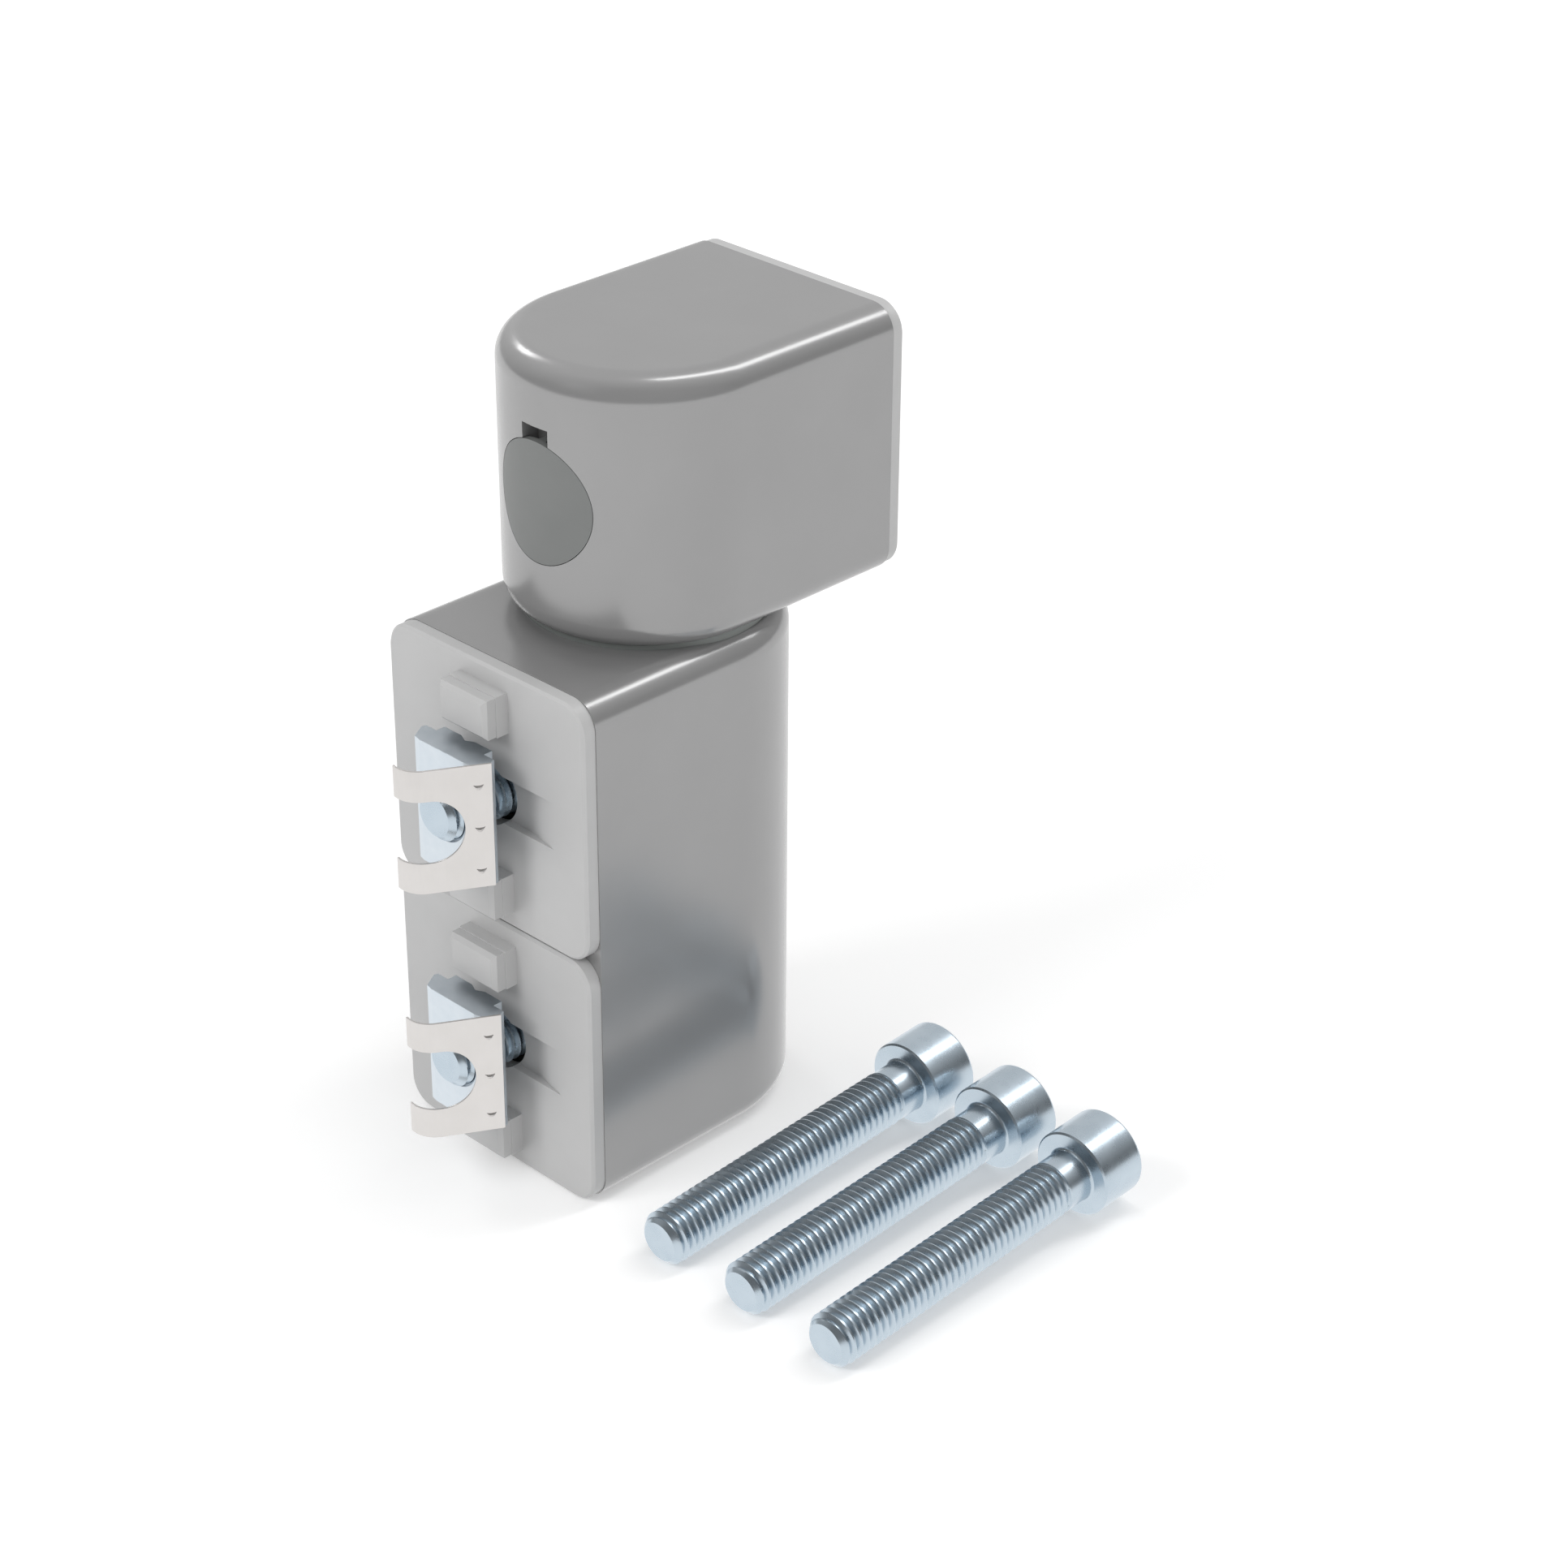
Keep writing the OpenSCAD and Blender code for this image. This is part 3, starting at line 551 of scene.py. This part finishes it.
def punch_marks(name, level):
    """Three small crescents along the root of the leaf, where the sheet is punched onto the nut."""
    root = Vector((LEAF_ROOT[0], LEAF_ROOT[1], 0))
    along = Vector((math.cos(LEAF_TURN), math.sin(LEAF_TURN), 0))
    out = Vector((-math.sin(LEAF_TURN), math.cos(LEAF_TURN), 0))
    low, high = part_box("washer_" + level)
    turned = Matrix.Rotation(math.pi if level == "top" else 0, 4, "Z")
    place = Matrix.Translation((0, 0, (low.z + high.z) / 2)) @ turned
    shape = bmesh.new()
    for height in (-PUNCH_STEP, 0, PUNCH_STEP):
        middle = root + along * PUNCH_INSET + out * SPRING_T + Vector((0, 0, height))
        spots = {}
        for row, (bow, lift) in enumerate(PUNCH_ROWS):
            for k in range(1, PUNCH_PARTS):
                share = 2 * k / PUNCH_PARTS - 1
                arch = 1 - share * share
                spots[row, k] = shape.verts.new(place @ (
                    middle + along * (share * PUNCH_W / 2) + out * (lift * arch - PUNCH_SINK)
                    - Vector((0, 0, bow * arch))))
        tips = [shape.verts.new(place @ (middle + along * (side * PUNCH_W / 2) - out * PUNCH_SINK))
                for side in (-1, 1)]
        rows = len(PUNCH_ROWS)
        for row in range(rows):
            after = (row + 1) % rows
            shape.faces.new((tips[0], spots[row, 1], spots[after, 1]))
            shape.faces.new((tips[1], spots[after, PUNCH_PARTS - 1], spots[row, PUNCH_PARTS - 1]))
            for k in range(1, PUNCH_PARTS - 1):
                shape.faces.new((spots[row, k], spots[row, k + 1],
                                 spots[after, k + 1], spots[after, k]))
    bmesh.ops.recalc_face_normals(shape, faces=shape.faces)
    mesh = bpy.data.meshes.new(name)
    shape.to_mesh(mesh)
    shape.free()
    mesh.polygons.foreach_set("use_smooth", [True] * len(mesh.polygons))
    piece = bpy.data.objects.new(name, mesh)
    scene.collection.objects.link(piece)
    return piece


stainless = rolled_stainless()
for node, body in SPRINGS.items():
    spring = welded_copy(node)
    ease_edges(spring, SPRING_EDGE)
    finish_piece(spring, body, stainless, "spring_steel", node)
    marks = punch_marks(node + "_punched", body[len("nut_"):])
    finish_piece(marks, body, stainless, "spring_steel")


# Caps
# Grey plastic caps that snap into the screw bores. Their curved faces carry on the round
# front of the housings, and a small slot beside each one lets it be prised off.

CAPS = ("cap_bottom", "cap_middle", "cap_top")
CAP_EDGE = 0.35 * MM
CAP_GREY = "#7b7d7c"
CAP_GREY_DARK = "#757776"

cap_plastic = moulded_plastic("moulded_polyamide_cap", CAP_GREY, CAP_GREY_DARK,
                              grain=0.25 * MM, roughness=0.48)
for node in CAPS:
    cap = welded_copy(node)
    ease_edges(cap, CAP_EDGE)
    finish_piece(cap, node, cap_plastic, "cap_plastic", node)


# Studio
# A plain white floor and surround, soft lamps, and a camera at the photograph's angle. The
# floor keeps the shadow of the joint.

FLOOR_SIZE = 4.0
FLOOR_Z = -0.02 * MM
FLOOR_WHITE = "#f2f2f2"
FLOOR_FIBRE = 1.5 * MM
FLOOR_GLOW = (0.22, 1.0)
GLOW_REACH = (0.3, 0.9)
FLOOR_IN_GLOSS = 1.12
ROOM_SOFT = 0.55
ROOM_DARK, CEILING_PALE = 0.2, 0.75
CEILING_SLOPE = (-0.45, 0.45, 0.77)
CEILING_SPAN = (0.15, 0.75)
AZIMUTH, ELEVATION, ROLL = 44.449, 29.112, 0.405
CAMERA_DISTANCE = 0.493
LENS = 82
SENSOR_W = 36
# Each lamp's name, place, width and length, power, and whether gloss shows it
LAMPS = [
    ("key", (-0.2, -0.95, 0.8), (0.5, 0.5), 5.0, False),
    ("fill", (0.95, -0.3, 0.6), (1.1, 1.1), 2.8, False),
    ("strip", (0.2, 0.56, 1.1), (0.2, 1.15), 3.6, True),
    ("left", (-1.0, 0.2, 0.8), (0.25, 0.25), 1.2, True),
]


def floor_white():
    """Matt white studio paper. The camera sees it a little brighter than it is lit, and more so
    away from the joint, where it runs out into the white surround. Gloss sees it evenly white."""
    material, tree = new_material("studio_paper")
    place = add(tree, "ShaderNodeTexCoord").outputs["Object"]
    fibre = add(tree, "ShaderNodeTexNoise", {"Vector": place, "Scale": 1 / FLOOR_FIBRE,
                                             "Detail": 2.0})
    rough = add(tree, "ShaderNodeMapRange", {"Value": fibre.outputs["Fac"], "To Min": 0.9,
                                             "To Max": 1.0})
    paper = add(tree, "ShaderNodeBsdfPrincipled", {"Base Color": linear(FLOOR_WHITE),
                                                   "Roughness": rough.outputs["Result"]})
    away = add(tree, "ShaderNodeVectorMath", {0: place}, operation="LENGTH").outputs["Value"]
    rise = add(tree, "ShaderNodeMapRange", {
        "Value": away, "From Min": GLOW_REACH[0], "From Max": GLOW_REACH[1],
        "To Min": FLOOR_GLOW[0], "To Max": FLOOR_GLOW[1]})
    glow = add(tree, "ShaderNodeEmission", {"Color": (1, 1, 1, 1), "Strength": rise.outputs["Result"]})
    lit = add(tree, "ShaderNodeAddShader", {0: paper.outputs[0], 1: glow.outputs[0]})
    ray = add(tree, "ShaderNodeLightPath")
    even = add(tree, "ShaderNodeEmission", {"Color": (1, 1, 1, 1), "Strength": FLOOR_IN_GLOSS})
    seen = add(tree, "ShaderNodeMixShader", {0: ray.outputs["Is Camera Ray"], 1: paper.outputs[0],
                                             2: lit.outputs[0]})
    mixed = add(tree, "ShaderNodeMixShader", {0: ray.outputs["Is Glossy Ray"], 1: seen.outputs[0],
                                              2: even.outputs[0]})
    add(tree, "ShaderNodeOutputMaterial", {"Surface": mixed.outputs[0]})
    return material


def studio_surround():
    """A world that lights softly and is white to the camera and through glass. Gloss shows a
    darker room with a pale ceiling, which slopes down behind the joint."""
    world = bpy.data.worlds.new("studio")
    scene.world = world
    world.use_nodes = True
    tree = world.node_tree
    tree.nodes.clear()
    soft = add(tree, "ShaderNodeBackground", {"Color": (1, 1, 1, 1), "Strength": ROOM_SOFT})
    white = add(tree, "ShaderNodeBackground", {"Color": (1, 1, 1, 1), "Strength": 1.0})
    ray = add(tree, "ShaderNodeLightPath")
    shown = add(tree, "ShaderNodeMath", {0: ray.outputs["Is Camera Ray"],
                                         1: ray.outputs["Is Transmission Ray"]}, operation="MAXIMUM")
    base = add(tree, "ShaderNodeMixShader", {0: shown.outputs[0], 1: soft.outputs[0],
                                             2: white.outputs[0]})
    sky = add(tree, "ShaderNodeTexCoord").outputs["Generated"]
    slope = add(tree, "ShaderNodeVectorMath", {0: sky, 1: CEILING_SLOPE}, operation="DOT_PRODUCT")
    fade = add(tree, "ShaderNodeMapRange", {
        "Value": slope.outputs["Value"], "From Min": CEILING_SPAN[0], "From Max": CEILING_SPAN[1],
        "To Min": ROOM_DARK, "To Max": CEILING_PALE})
    gloss = add(tree, "ShaderNodeBackground", {"Color": (1, 1, 1, 1),
                                               "Strength": fade.outputs["Result"]})
    mixed = add(tree, "ShaderNodeMixShader", {0: ray.outputs["Is Glossy Ray"], 1: base.outputs[0],
                                              2: gloss.outputs[0]})
    add(tree, "ShaderNodeOutputWorld", {"Surface": mixed.outputs[0]})


def studio_floor():
    """One large sheet under the joint."""
    half = FLOOR_SIZE / 2
    corners = [(-half, -half), (half, -half), (half, half), (-half, half)]
    mesh = bpy.data.meshes.new("studio_floor")
    mesh.from_pydata([(x, y, FLOOR_Z) for x, y in corners], [], [(0, 1, 2, 3)])
    sheet = bpy.data.objects.new("studio_floor", mesh)
    scene.collection.objects.link(sheet)
    mesh.materials.append(floor_white())


def soft_lamp(name, place, size, power, in_gloss, aim):
    """A softbox that faces the joint, with or without its own mirror image in gloss."""
    light = bpy.data.lights.new(name, "AREA")
    light.shape = "RECTANGLE"
    light.size, light.size_y = size
    light.energy = power
    lamp = bpy.data.objects.new(name, light)
    scene.collection.objects.link(lamp)
    lamp.visible_glossy = in_gloss
    lamp.location = place
    lamp.rotation_euler = (Vector(place) - aim).to_track_quat("Z", "Y").to_euler()


def photo_camera(aim):
    """A camera that looks at the joint along the photograph's line of sight."""
    azimuth, elevation, roll = (math.radians(a) for a in (AZIMUTH, ELEVATION, ROLL))
    back = Vector((math.sin(azimuth) * math.cos(elevation), -math.cos(azimuth) * math.cos(elevation),
                   math.sin(elevation)))
    right = Vector((math.cos(azimuth), math.sin(azimuth), 0))
    up = back.cross(right)
    right, up = (right * math.cos(roll) + up * math.sin(roll),
                 up * math.cos(roll) - right * math.sin(roll))
    data = bpy.data.cameras.new("camera")
    data.lens = LENS
    data.sensor_width = SENSOR_W
    data.clip_start = 0.01
    camera = bpy.data.objects.new("camera", data)
    scene.collection.objects.link(camera)
    turned = Matrix((right, up, back)).transposed().to_4x4()
    camera.matrix_world = Matrix.Translation(aim + back * CAMERA_DISTANCE) @ turned
    scene.camera = camera


studio_surround()
studio_floor()
middle = (Vector(cad_box[0]) + Vector(cad_box[1])) / 2
for name, place, size, power, in_gloss in LAMPS:
    soft_lamp(name, place, size, power, in_gloss, middle)
photo_camera(middle)

bpy.context.view_layer.update()
